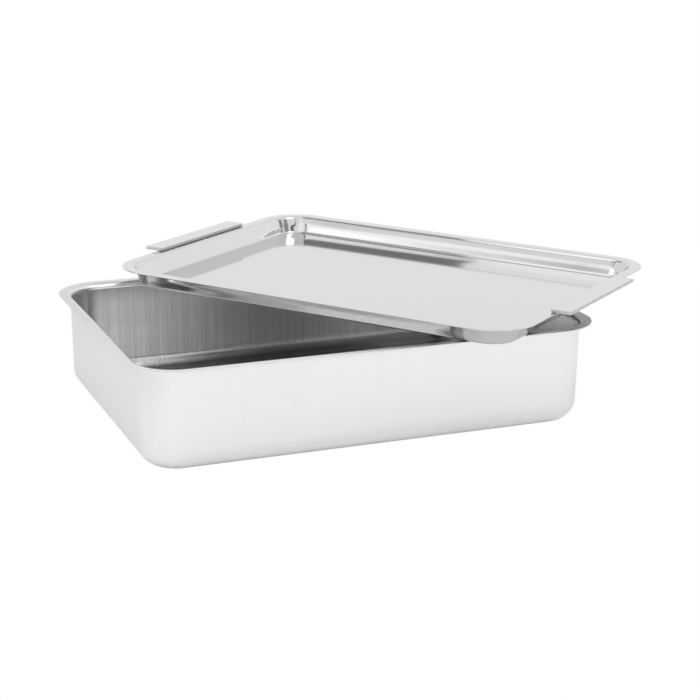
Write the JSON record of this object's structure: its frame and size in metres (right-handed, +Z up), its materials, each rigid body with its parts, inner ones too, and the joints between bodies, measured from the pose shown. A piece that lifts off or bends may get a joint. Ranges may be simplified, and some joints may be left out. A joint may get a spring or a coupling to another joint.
{
  "type": "instrument tray",
  "caption": "Deep rectangular steel pan with rounded corners and a flat rim, and a shallow dished tray lid with a flat bar handle on each short side, lying askew on the rim.",
  "frame": {"origin": "centre of the pan's flat underside, where it rests on a table", "axes": "+X along the pan's long side, +Y from its front side to its back side, +Z up out of the pan"},
  "size_m": [0.4405, 0.4066, 0.0924],
  "materials": {
    "pan_steel": "satin, drawn grain running up the walls",
    "lid_steel": "bright annealed, near mirror, with a faint grain",
    "handle_steel": "satin with polished edges"
  },
  "bodies": {
    "base_pan": {"pan": "pan_steel"},
    "lid": {"lid_tray": "lid_steel", "handle_left": "handle_steel", "handle_right": "handle_steel"}
  },
  "joints": [
    {"name": "lid_lift", "type": "slide", "parent": "base_pan", "child": "lid", "axis": [0, 0, 1], "range_m": [0, 0.15]}
  ]
}
